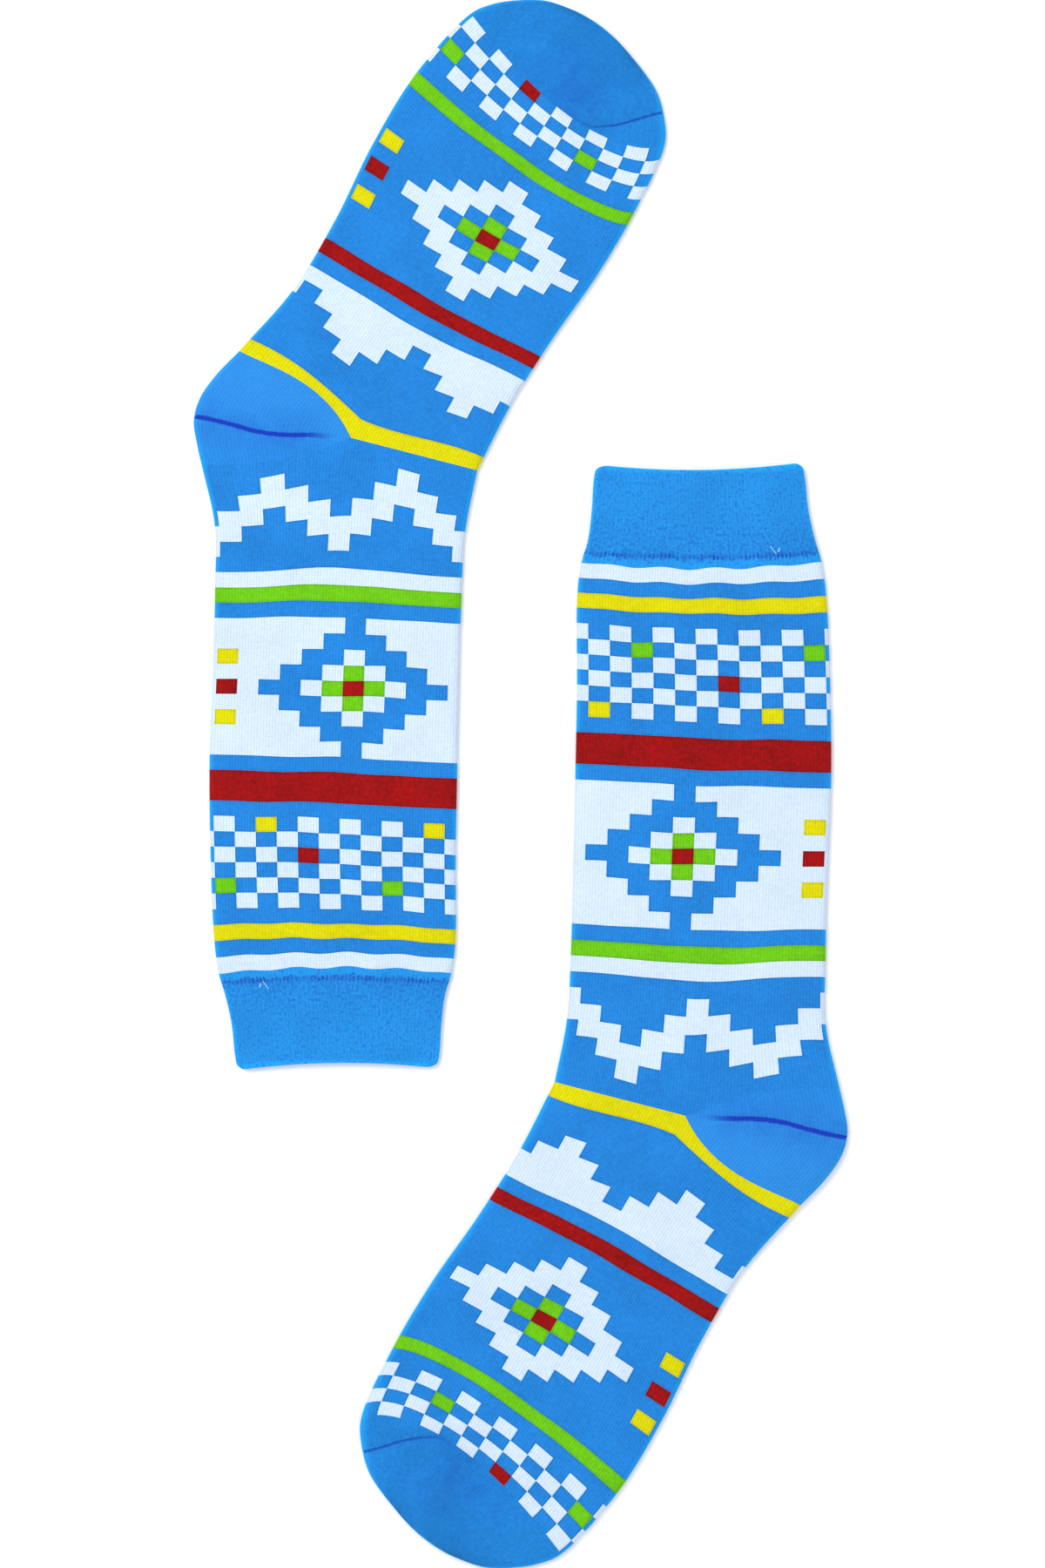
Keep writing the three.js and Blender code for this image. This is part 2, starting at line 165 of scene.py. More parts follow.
# The knitting. A sock is knitted round on 168 needles, and a block of colour is 7 stitches wide
# and 7 courses high, so 24 blocks go round.
BLOCKS_ROUND = 24
BLOCK_STITCHES = 7
BLOCK_CELLS = 6              # mesh cells across a block
BLOCK_CELL_ROWS = 4          # mesh cells up a block
FIRST_BLOCK_CELLS = 2        # cells of the first block that the folded front edge hides
CUFF_RIBS = 120
RIB_CELLS = 4
RIB_DEPTH = 0.13

# Where each sock lies comes from its solids, and this is how it is turned and stretched.
SOCKS = {
    "lower_sock": {"turn": 0, "stretch": 1.0},
    "upper_sock": {"turn": math.pi, "stretch": 0.968},
}


# Lines and curves

LINE_SAMPLES = 25            # points that a seam's line is measured from
COURSE_SAMPLES = 500         # points that the way along a limb is measured from


def length_of(vectors):
    return np.linalg.norm(vectors, axis=-1)


def smooth(x):
    x = np.clip(x, 0, 1)
    return x * x * (3 - 2 * x)


def blend(a, b, share):
    return a + (b - a) * share


def arch(x, skew=1.0):
    """0 at both ends and 1 where it is fullest, which is nearer to the start the larger the skew is."""
    w = np.clip(x, 0, 1)
    fullest = 1 / (1 + skew)
    return w / fullest * ((1 - w) / (1 - fullest)) ** skew


def curve_through(points):
    """A centripetal Catmull-Rom curve: a function of s, which goes from 0 to 1."""
    points = np.array(points, float)
    first = 2 * points[0] - points[1]
    last = 2 * points[-1] - points[-2]
    spots = np.vstack([first, points, last])
    knots = np.sqrt(length_of(np.diff(spots, axis=0)))

    def at(s):
        place = np.clip(s, 0, 1) * (len(points) - 1)
        i = np.minimum(np.asarray(place, int), len(points) - 2)
        t = (place - i)[..., None]
        p0, p1, p2, p3 = (spots[i + k] for k in range(4))
        d0, d1, d2 = (knots[i + k][..., None] for k in range(3))
        leave = ((p1 - p0) / d0 - (p2 - p0) / (d0 + d1) + (p2 - p1) / d1) * d1
        arrive = ((p2 - p1) / d1 - (p3 - p1) / (d1 + d2) + (p3 - p2) / d2) * d1
        square = 3 * (p2 - p1) - 2 * leave - arrive
        cube = 2 * (p1 - p2) + leave + arrive
        return p1 + t * (leave + t * (square + t * cube))

    return at


def beside_line(plan, points):
    """How far each place lies to the left of a line, and how far along it, both in millimetres."""
    line = curve_through(points)(np.linspace(0, 1, LINE_SAMPLES))
    nearest = np.full(plan.shape[:-1], np.inf)
    aside = np.zeros(plan.shape[:-1])
    along = np.zeros(plan.shape[:-1])
    passed = 0
    for start, end in zip(line[:-1], line[1:]):
        run = end - start
        size = length_of(run)
        way = plan - start
        share = np.clip(way @ run / size ** 2, 0, 1)
        away = length_of(way - share[..., None] * run)
        left = run[0] * way[..., 1] - run[1] * way[..., 0]
        closer = away < nearest
        nearest = np.where(closer, away, nearest)
        aside = np.where(closer, np.copysign(away, left), aside)
        along = np.where(closer, passed + share * size, along)
        passed += size
    return aside, along


# The flat plan of the sock

class Limb:
    """A run of courses: s is 0 at the first section and 1 at the last. u runs from the front edge
    to the back edge. The courses bend towards the gore tip at the end where the heel is."""

    def __init__(self, sections, heel_end, bend_reach, bow):
        sections = np.array(sections)
        self.front = curve_through(sections[:, :2])
        self.back = curve_through(sections[:, 2:])
        self.ankle = self.middle(heel_end)
        self.bend_reach = bend_reach
        self.bow_size, self.bow_skew, self.bow_reach = bow
        across = self.back(heel_end) - self.front(heel_end)
        to_tip = GORE_TIP - self.front(heel_end)
        self.gore_share = to_tip @ across / (across @ across)
        self.gore_lift = (across[0] * to_tip[1] - across[1] * to_tip[0]) / length_of(across)
        border = self.back(heel_end) - GORE_TIP
        self.off_border = np.array([-border[1], border[0]]) / length_of(border)

    def middle(self, s):
        return (self.front(s) + self.back(s)) / 2

    def heel_bow(self, u):
        """How far the heel's border lies off the straight line from the gore tip."""
        w = (np.asarray(u) - GORE_U) / (1 - GORE_U)
        return self.off_border * (self.bow_size * arch(w, self.bow_skew))[..., None]

    def point(self, s, u, bend):
        distance = length_of(self.middle(s) - self.ankle)
        nearness = np.exp(-distance / self.bend_reach)
        share = blend(GORE_U, self.gore_share, nearness)
        across_front = u / GORE_U * share
        across_back = 1 - (1 - u) / (1 - GORE_U) * (1 - share)
        t = np.where(u < GORE_U, across_front, across_back)[..., None]
        across = self.back(s) - self.front(s)
        up = np.stack([-across[..., 1], across[..., 0]], axis=-1)
        up = up / length_of(up)[..., None]
        x = np.where(u < GORE_U, u / GORE_U, (1 - u) / (1 - GORE_U))
        peak = blend(smooth(x), x, np.exp(-distance / KINK_REACH))
        lift = self.gore_lift * nearness * peak + bend
        bow = self.heel_bow(u) * np.exp(-distance / self.bow_reach)[..., None]
        return self.front(s) + across * t + up * lift[..., None] + bow

    def courses(self, start, end):
        """Fine steps of s from one course to another, and how far along the middle each one is."""
        s = np.linspace(start, end, COURSE_SAMPLES)
        steps = length_of(np.diff(self.middle(s), axis=0))
        return s, np.concatenate([[0], np.cumsum(steps)])

    def even_courses(self, start, end, count):
        """Courses at even distances along the middle, a seam gap in from both ends."""
        s, along = self.courses(start, end)
        places = np.linspace(SEAM_GAP, along[-1] - SEAM_GAP, count + 1)
        return np.interp(places, along, s)[:, None]


LEG = Limb(LEG_SECTIONS, 1.0, LEG_BEND_REACH, LEG_BOW)
FOOT = Limb(FOOT_SECTIONS, 0.0, FOOT_BEND_REACH, FOOT_BOW)
JOINT_S = CUFF_JOINT / (len(LEG_SECTIONS) - 1)
TOE_S = TOE_JOINT / (len(FOOT_SECTIONS) - 1)
LAST_STRETCH = 1 / (len(FOOT_SECTIONS) - 1)
JOINT_Y = LEG.middle(JOINT_S)[1]
heel_edge = curve_through(HEEL_EDGE)


def fading(y, below, above):
    """How strongly a course feels the cuff joint, by how far below or above it it lies."""
    under = JOINT_Y - y
    return np.exp(-np.where(under > 0, under / below, -under / above))


def gather_wave(u, waves=GATHER_WAVES):
    return np.sin(2 * np.pi * waves * u - np.pi / 2) * np.sqrt(np.abs(np.sin(np.pi * u)))


def wander(along, u):
    waves = [size * np.sin(2 * np.pi * (across * u + rows * along)) for size, across, rows in WANDERS]
    return arch(along) * arch(u) * np.sum(np.broadcast_arrays(*waves), axis=0)


def leg_point(s, u):
    y = LEG.middle(s)[..., 1]
    lip = LIP_DIP * np.clip(1 - s / JOINT_S, 0, 1) ** 2
    sag = SAG_DEPTH * fading(y, SAG_BELOW, SAG_ABOVE)
    gather = GATHER_SIDEWAYS * fading(y, WAVY_BELOW, GATHER_ABOVE) * gather_wave(u)
    loose = wander((s - JOINT_S) / (1 - JOINT_S), u)
    return LEG.point(s, u, gather + loose - (sag + lip) * arch(u))


def foot_point(s, u):
    before = np.clip(s / TOE_S, 0, 1) ** 3
    after = np.clip((1 - s) / (1 - TOE_S), 0, 1) ** 2
    end = smooth(1 - (1 - s) / LAST_STRETCH)
    bow = TOE_BOW * before * after * arch(u ** TOE_BOW_SKEW) - TOE_END_BOW * end * arch(u)
    return FOOT.point(s, u, bow + wander(s / TOE_S, u))


def heel_point(s, u):
    """Heel courses fan out from the gore tip: s is 0 on the leg side and 1 on the foot side."""
    edge = heel_edge(s)
    start = blend(GORE_TIP, edge, (GORE_START / length_of(edge - GORE_TIP))[..., None])
    share = np.asarray((u - GORE_U) / (1 - GORE_U))[..., None]
    s = s[..., None]
    return blend(start, edge, share) + LEG.heel_bow(u) * (1 - s) ** 2 + FOOT.heel_bow(u) * s ** 2


def top_height(plan, u):
    """Height of the upper layer over the table."""
    height = EDGE_HEIGHT + CROWN * (1 - (2 * u - 1) ** 4)
    for x, y, radius, rise in PUFFS:
        height = height + rise * np.exp(-(length_of(plan - (x, y)) / radius) ** 2)
    for line, depth, half_width in SEAM_HOLLOWS:
        aside, _ = beside_line(plan, line)
        height -= depth * smooth(1 - np.abs(aside) / half_width)
    inside = 4 * u * (1 - u)
    for rise, wavelength, heading, start in SWELLS:
        way = (math.cos(math.radians(heading)), math.sin(math.radians(heading)))
        height += rise * inside * np.sin(2 * math.pi * (plan @ way) / wavelength + start)
    relief = GATHER_HEIGHT * gather_wave(u) + PUCKER_HEIGHT * gather_wave(u, PUCKER_WAVES)
    return height + relief * fading(plan[..., 1], GATHER_BELOW, GATHER_ABOVE)


# The flattened tube. laps runs round it: 0 at the front edge, 1 on top over the gore, 2 at the back
# edge, 3 underneath the gore, and 4 at the front edge again, with the stitches evenly spaced.

def round_the_tube(plan_at, s, laps, inset):
    """u of each column, and how far it stands above (1) or below (-1) the middle of the fold."""
    middle = plan_at(s, GORE_U)
    front_half = length_of(middle - plan_at(s, 0.0))
    back_half = length_of(middle - plan_at(s, 1.0))
    at_front = (laps < 1) | (laps > 3)
    half = np.where(at_front, front_half, back_half)
    quarters_away = np.where(at_front, np.minimum(laps, 4 - laps), np.abs(laps - 2))
    cloth = quarters_away * (FOLD_CLOTH + half - FOLD_RADIUS)
    angle = np.minimum(cloth / FOLD_RADIUS, math.pi / 2)
    rounding = inset + (FOLD_RADIUS - inset) * (1 - np.cos(angle))
    reach = np.where(cloth < FOLD_CLOTH, rounding, FOLD_RADIUS + cloth - FOLD_CLOTH)
    u = np.where(at_front, GORE_U * reach / half, 1 - (1 - GORE_U) * reach / half)
    return u, np.where(laps <= 2, 1, -1) * np.sin(angle)


def fold_at(plan_at, s, laps, tip=1.0):
    """1 on the outermost line of a folded edge, and 0 where the cloth lies flat."""
    _, swell = round_the_tube(plan_at, s, laps, 0.0)
    return np.sqrt(1 - (swell * tip) ** 2)


def skin(plan_at, s, laps, inset=0.0, tip=1.0):
    """Points of the cloth's surface, a row for each course and a column for each of laps."""
    u, swell = round_the_tube(plan_at, s, laps, inset)
    plan = plan_at(s, u)
    height = top_height(plan, u)
    z = height / 2 + (height / 2 - inset) * swell * tip
    return np.concatenate([plan, np.maximum(z, 0)[..., None]], axis=-1)


# Making meshes

def knit(name, points, across, along):
    """Lays a grid of cloth and moves its points into place. across and along are the knitted
    measures of its points, which its UV map keeps."""
    rows, columns = points.shape[:2]
    bpy.ops.object.select_all(action="DESELECT")
    bpy.ops.mesh.primitive_grid_add(x_subdivisions=columns - 1, y_subdivisions=rows - 1)
    piece = bpy.context.object
    piece.name = name
    piece.data.name = name
    piece.data.vertices.foreach_set("co", (points * MM).ravel())
    measures = piece.data.uv_layers.active
    measures.name = "knit"
    uv = np.zeros(len(piece.data.loops) * 2)
    measures.data.foreach_get("uv", uv)
    uv = uv.reshape(-1, 2)
    column = np.rint(uv[:, 0] * (columns - 1)).astype(int)
    row = np.rint(uv[:, 1] * (rows - 1)).astype(int)
    knitted_at = np.stack(np.broadcast_arrays(across, along), axis=-1)
    measures.data.foreach_set("uv", knitted_at[row, column].ravel())
    return piece


def note_on(piece, name, values):
    """Keeps a value for each point of the cloth, which its material reads."""
    attribute = piece.data.attributes.new(name, "FLOAT", "POINT")
    attribute.data.foreach_set("value", values.ravel().astype(np.float32))


def sew_shut(piece):
    bpy.ops.object.mode_set(mode="EDIT")
    bpy.ops.mesh.select_all(action="SELECT")
    bpy.ops.mesh.remove_doubles(threshold=WELD * MM)
    bpy.ops.mesh.normals_make_consistent(inside=False)
    bpy.ops.object.mode_set(mode="OBJECT")


def thicken(piece, wall):
    solidify = piece.modifiers.new("wall", "SOLIDIFY")
    solidify.thickness = wall * MM
    solidify.offset = -1
    bpy.ops.object.modifier_apply(modifier=solidify.name)


def cut_of(points):
    """Width all round, length and area of the knitted piece, in metres."""
    width = length_of(np.diff(points, axis=1)).sum(axis=1).max()
    length = length_of(np.diff(points, axis=0)).sum(axis=0).max()
    first = points[1:, 1:] - points[:-1, :-1]
    second = points[1:, :-1] - points[:-1, 1:]
    area = length_of(np.cross(first, second)).sum() / 2
    return width * MM, length * MM, area * MM * MM


# The colour chart. Each letter is a block of one yarn, each line is a row of blocks, and a line
# shorter than the round is repeated. The rows run down the leg, and then along the foot to the toe.
YARNS = "bwyrg"

CHECKS = [
    "wbwbwbwb",
    "bwbgbwbw",
    "wbwbwbwb",
    "bwbwbwbr",
    "wbwbwbwb",
    "bybwbwbw",
]
ZIGZAG = [
    "wbbbbb",
    "wwbbbw",
    "bwwbww",
    "bbwwwb",
    "bbbwbb",
]
STEPS = [
    "bbwbbb",
    "bwwwbb",
    "wwwwwb",
]
DIAMONDS = [
    "bbbbbwbbbbbb",
    "bbbbwwwbbbbb",
    "bbbwwbwwbbby",
    "bbwwbgbwwbbb",
    "bwwbgrgbwwbr",
    "bbwwbgbwwbbb",
    "bbbwwbwwbbby",
    "bbbbwwwbbbbb",
    "bbbbbwbbbbbb",
]
BLUE_AND_WHITE_SWAPPED = str.maketrans("bw", "wb")
WHITE_DIAMONDS = [row.translate(BLUE_AND_WHITE_SWAPPED) for row in DIAMONDS]

LEG_CHART = [*"wbyb", *CHECKS, *"brrb", *WHITE_DIAMONDS, *"bgwb", *ZIGZAG, "b"]
FOOT_CHART = [*"ybb", *STEPS, *"wbrb", *DIAMONDS, *"bgb", *CHECKS[:4]]


def chart_cells(chart):
    """The yarn of each mesh cell of a charted piece."""
    blocks = [[YARNS.index(row[i % len(row)]) for i in range(BLOCKS_ROUND)] for row in chart]
    cells = np.repeat(np.repeat(blocks, BLOCK_CELL_ROWS, axis=0), BLOCK_CELLS, axis=1)
    return np.roll(cells, -FIRST_BLOCK_CELLS, axis=1)


def colour_changes(cells):
    """1 at each point of the cloth where two yarns meet, and 0 elsewhere."""
    rows, columns = cells.shape
    round_it = np.pad(cells, ((0, 0), (1, 1)), mode="wrap")
    padded = np.pad(round_it, ((1, 1), (0, 0)), mode="edge")
    around = [padded[i:i + rows + 1, j:j + columns + 1] for i in (0, 1) for j in (0, 1)]
    return np.any([corner != around[0] for corner in around], axis=0).astype(float)


# The pieces of one sock

TUBE_LAPS = np.linspace(0, 4, BLOCKS_ROUND * BLOCK_CELLS + 1)
HEEL_LAPS = np.linspace(1, 3, BLOCKS_ROUND * BLOCK_CELLS // 2 + 1)
BLOCK_LENGTH = 5.9           # millimetres along the sock


def make_charted(name, limb, plan_at, start, end, chart):
    """A tube of jersey with the chart's colours, from one course to another."""
    cells = chart_cells(chart)
    s = limb.even_courses(start, end, len(cells))
    points = skin(plan_at, s, TUBE_LAPS)
    across = np.linspace(0, BLOCKS_ROUND, len(TUBE_LAPS)) - FIRST_BLOCK_CELLS / BLOCK_CELLS
    piece = knit(name, points, across, np.linspace(0, len(chart), len(points))[:, None])
    for yarn in YARNS:
        piece.data.materials.append(JERSEY[yarn])
    piece.data.polygons.foreach_set("material_index", cells.ravel())
    note_on(piece, "colour_change", colour_changes(cells))
    note_on(piece, "fold", fold_at(plan_at, s, TUBE_LAPS))
    sew_shut(piece)
    thicken(piece, WALL)
    return piece, cut_of(points)


def make_leg():
    return make_charted("leg", LEG, leg_point, JOINT_S, 1.0, LEG_CHART)


def make_foot():
    return make_charted("foot", FOOT, foot_point, 0.0, TOE_S, FOOT_CHART)


def beside_line_on_top(points, line):
    """As beside_line, and the lower layer's points count as far away."""
    aside, along = beside_line(points[..., :2], line)
    return np.where(points[..., 2] < FOLD_RADIUS, UNSEEN, aside), along


def note_seam(piece, points, line, fade_from, fade_to):
    """Keeps how far each point lies from a seam, and how strongly the seam shows there."""
    aside, along = beside_line_on_top(points, line)
    shows = 1 - smooth((along - fade_from) / (fade_to - fade_from))
    note_on(piece, "seam_aside", aside)
    note_on(piece, "seam_shows", shows)
    return aside, shows


HEEL_ROWS = 48
HEEL_SEAM_FADE = (41, 57)    # millimetres from the back edge
HEEL_SHADE_WIDTH = 9         # of the soft shade beside the gore line
HEEL_POUCH_START = 0.45      # past this share of the courses the pouch's painted light is full


def make_heel():
    """The heel's courses run along its borders with the leg and the foot and meet at the gore."""
    gap = SEAM_GAP / HEEL_DEPTH
    s = np.linspace(gap, 1 - gap, HEEL_ROWS + 1)[:, None]
    points = skin(heel_point, s, HEEL_LAPS)
    across = np.linspace(0, BLOCKS_ROUND / 2, len(HEEL_LAPS))
    from_leg = length_of(points - points[:1])
    from_foot = length_of(points - points[-1:])
    piece = knit("heel", points, across, np.minimum(from_leg, from_foot) / BLOCK_LENGTH)
    aside, shows = note_seam(piece, points, HEEL_GORE, *HEEL_SEAM_FADE)
    note_on(piece, "hollow", np.exp(-(aside / HEEL_SHADE_WIDTH) ** 2) * shows)
    note_on(piece, "pouch", smooth(s / HEEL_POUCH_START) * np.ones(len(HEEL_LAPS)))
    note_on(piece, "fold", fold_at(heel_point, s, HEEL_LAPS))
    piece.data.materials.append(HEEL_JERSEY)
    sew_shut(piece)
    thicken(piece, WALL)
    return piece, cut_of(points)


TOE_ROWS = 36
TOE_TIP_ROWS = 6
TOE_TIP_STEP = FOLD_CLOTH / TOE_TIP_ROWS / BLOCK_LENGTH
TOE_SEAM_FADE = (16, 42)
TOE_HOLLOW = (-86, -136)     # the cloth sinks a little here and lies in soft shade
TOE_HOLLOW_RADIUS = 20


def make_toe():
    """The toe rounds down at its end, and its upper and lower layers meet there."""
    length = length_of(FOOT.middle(1.0) - FOOT.middle(TOE_S))
    body = FOOT.even_courses(TOE_S, 1 - FOLD_RADIUS / length * (1 - TOE_S), TOE_ROWS)
    angles = np.linspace(math.pi / 2, 0, TOE_TIP_ROWS + 1)[1:, None]
    from_end = FOLD_RADIUS * (1 - np.cos(angles))
    tips = 1 - from_end / length * (1 - TOE_S)
    s = np.vstack([body, tips])
    swell = np.vstack([np.ones_like(body), np.sin(angles)])
    points = skin(foot_point, s, TUBE_LAPS, tip=swell)
    steps = [0] + [1 / BLOCK_CELL_ROWS] * TOE_ROWS + [TOE_TIP_STEP] * TOE_TIP_ROWS
    piece = knit("toe", points, np.linspace(0, BLOCKS_ROUND, len(TUBE_LAPS)), np.cumsum(steps)[:, None])
    note_seam(piece, points, TOE_SEAM, *TOE_SEAM_FADE)
    note_on(piece, "fold", fold_at(foot_point, s, TUBE_LAPS, tip=swell))
    note_on(piece, "hollow", np.exp(-(length_of(points[..., :2] - TOE_HOLLOW) / TOE_HOLLOW_RADIUS) ** 2))
    piece.data.materials.append(TOE_JERSEY)
    sew_shut(piece)
    thicken(piece, WALL)
    return piece, cut_of(points)


CUFF_OUTER_ROWS = 44
CUFF_LIP_ROWS = 8
CUFF_INNER_ROWS = 20
WELT_LINE = 3.6              # the line of stitches that closes the double cuff, above the joint
WELT_DEPTH = 0.22
WELT_HALF_WIDTH = 1.4
UNDER_WELT = 0.14            # how much of the fold's painted highlight colour the single cloth under that line takes, as a share of a fold


def make_cuff():
    """The cuff is a double welt: the cloth runs up outside, over the lip and down inside."""
    fine, along = LEG.courses(0.0, JOINT_S)
    length = along[-1]
    lip_radius = CUFF_WALL / 2
    up = np.linspace(length - SEAM_GAP, lip_radius, CUFF_OUTER_ROWS + 1)[:-1]
    turn = np.linspace(0, math.pi, CUFF_LIP_ROWS + 1)
    down = np.linspace(lip_radius, length - SEAM_GAP, CUFF_INNER_ROWS + 1)[1:]
    below_lip = np.concatenate([up, lip_radius * (1 - np.sin(turn)), down, up[:1]])
    inset = np.concatenate([
        np.zeros(CUFF_OUTER_ROWS),
        lip_radius * (1 - np.cos(turn)),
        np.full(CUFF_INNER_ROWS, CUFF_WALL),
        [0.0],
    ])
    laps = np.linspace(0, 4, CUFF_RIBS * RIB_CELLS + 1)
    ribs = 0.5 + 0.5 * np.cos(2 * math.pi * laps * CUFF_RIBS / 4)
    above_joint = length - below_lip
    on_top = np.where(laps < 2, 1, 0)
    welt = smooth(1 - np.abs(above_joint[:, None] - WELT_LINE) / WELT_HALF_WIDTH) * on_top
    outside = (inset < CUFF_WALL)[:, None]
    relief = (RIB_DEPTH * ribs + WELT_DEPTH * welt) * outside
    s = np.interp(below_lip, along, fine)[:, None]
    points = skin(leg_point, s, laps, inset=inset[:, None] + relief)
    piece = knit("cuff", points, np.linspace(0, CUFF_RIBS, len(laps)), above_joint[:, None])
    # Painted highlight on the rounded top of the lip, as on a folded edge, and a paler strip under the welt
    # line, both kept in the fold values
    over_lip = smooth(1 - below_lip / (2 * CUFF_WALL))
    under_welt = UNDER_WELT * smooth((WELT_LINE - above_joint) / WELT_HALF_WIDTH)
    bright = np.maximum(over_lip, under_welt)[:, None]
    note_on(piece, "fold", np.maximum(fold_at(leg_point, s, laps), bright))
    threads = [beside_line_on_top(points, line)[0] for line in THREAD_ENDS]
    note_on(piece, "thread_away", np.min(np.abs(threads), axis=0))
    piece.data.materials.append(CUFF_RIB)
    sew_shut(piece)
    outer = skin(leg_point, s[:CUFF_OUTER_ROWS], laps)
    return piece, cut_of(outer)


# Materials

def linear(hex_colour):
    """An sRGB hex colour as the linear values that the nodes take."""
    channels = [int(hex_colour[i:i + 2], 16) / 255 for i in (1, 3, 5)]
    return [c / 12.92 if c <= 0.04045 else ((c + 0.055) / 1.055) ** 2.4 for c in channels] + [1.0]


def add(tree, kind, inputs, **settings):
    """Adds a node with its settings, its values and its links. A node given as an input is linked
    by its first output."""
    node = tree.nodes.new(kind)
    for name, value in settings.items():
        setattr(node, name, value)
    for socket, value in inputs.items():
        if isinstance(value, bpy.types.Node):
            value = value.outputs[0]
        if isinstance(value, bpy.types.NodeSocket):
            tree.links.new(value, node.inputs[socket])
        else:
            node.inputs[socket].default_value = value
    return node


# How large the uneven patches of yarn and dye, and the patches of painted shade in hollows, are, in
# # millimetres. The fibre itself is ten times finer than FIBRE_GRAIN, which is drawn this coarse so that it
# shows.
FIBRE_GRAIN = 1.4
DYE_PATCH = 16
CREASE_PATCH = 6

# How the two kinds of unevenness add up
FIBRE_WEIGHT = 1.6           # of the fibre's grain, against 1 for the dye
DARKEST = 0.8                # their sum where the yarn is darkest
PALEST = 1.8

# One knitted V. Its height is 1 outside the groove, and the yarn's own roundness adds to that.
V_SLANT = 1.4                # courses that the yarn climbs across one stitch
V_GROOVE = 0.25              # half the width of the groove between two wales, in stitches
V_ROUNDNESS = 0.4
V_BUMP = 0.8
# Painted shade in the grooves between the stitches and painted light on their tops, as shares of the yarn's
# colour
GROOVE_SHADE = 0.91
TOP_SHADE = 1.04

OUTLINE_FROM = 0.4           # how near to a colour change the painted shade of an outline starts, where 1 is on it
FOLD_SHARE = 0.85            # of the painted highlight colour, on the outermost line of a fold


def stitch_height(tree, measures, stitches):
    """Rows of small V stitches."""
    wale = add(tree, "ShaderNodeMath", {0: measures.outputs["X"], 1: stitches}, operation="MULTIPLY")
    course = add(tree, "ShaderNodeMath", {0: measures.outputs["Y"], 1: stitches}, operation="MULTIPLY")
    leg = add(tree, "ShaderNodeMath", {0: wale, 1: 0.5}, operation="PINGPONG")
    climb = add(tree, "ShaderNodeMath", {0: leg, 1: V_SLANT, 2: course}, operation="MULTIPLY_ADD")
    turn = add(tree, "ShaderNodeMath", {0: climb, 1: 2 * math.pi}, operation="MULTIPLY")
    roundness = add(tree, "ShaderNodeMath", {0: turn}, operation="SINE")
    out_of_groove = add(tree, "ShaderNodeMapRange", {"Value": leg, "From Max": V_GROOVE},
                        interpolation_type="SMOOTHSTEP")
    return add(tree, "ShaderNodeMath", {0: roundness, 1: V_ROUNDNESS, 2: out_of_groove},
               operation="MULTIPLY_ADD")


def yarn_tone_and_stitch_shade(tree, place, fine, height, mottle):
    """How pale the yarn is: uneven by its fibre and its dye, with painted shade between the stitches and
    painted light on their tops.
    """
    broad = add(tree, "ShaderNodeTexNoise", {"Vector": place, "Scale": 1 / (DYE_PATCH * MM), "Detail": 2})
    both = add(tree, "ShaderNodeMath", {0: fine, 1: FIBRE_WEIGHT, 2: broad}, operation="MULTIPLY_ADD")
    uneven = add(tree, "ShaderNodeMapRange", {
        "Value": both, "From Min": DARKEST, "From Max": PALEST,
        "To Min": 1 - mottle, "To Max": 1 + mottle})
    painted_stitch_shade = add(tree, "ShaderNodeMapRange", {
        "Value": height, "From Min": -V_ROUNDNESS, "From Max": 1.0,
        "To Min": GROOVE_SHADE, "To Max": TOP_SHADE})
    return add(tree, "ShaderNodeMath", {0: uneven, 1: painted_stitch_shade}, operation="MULTIPLY")


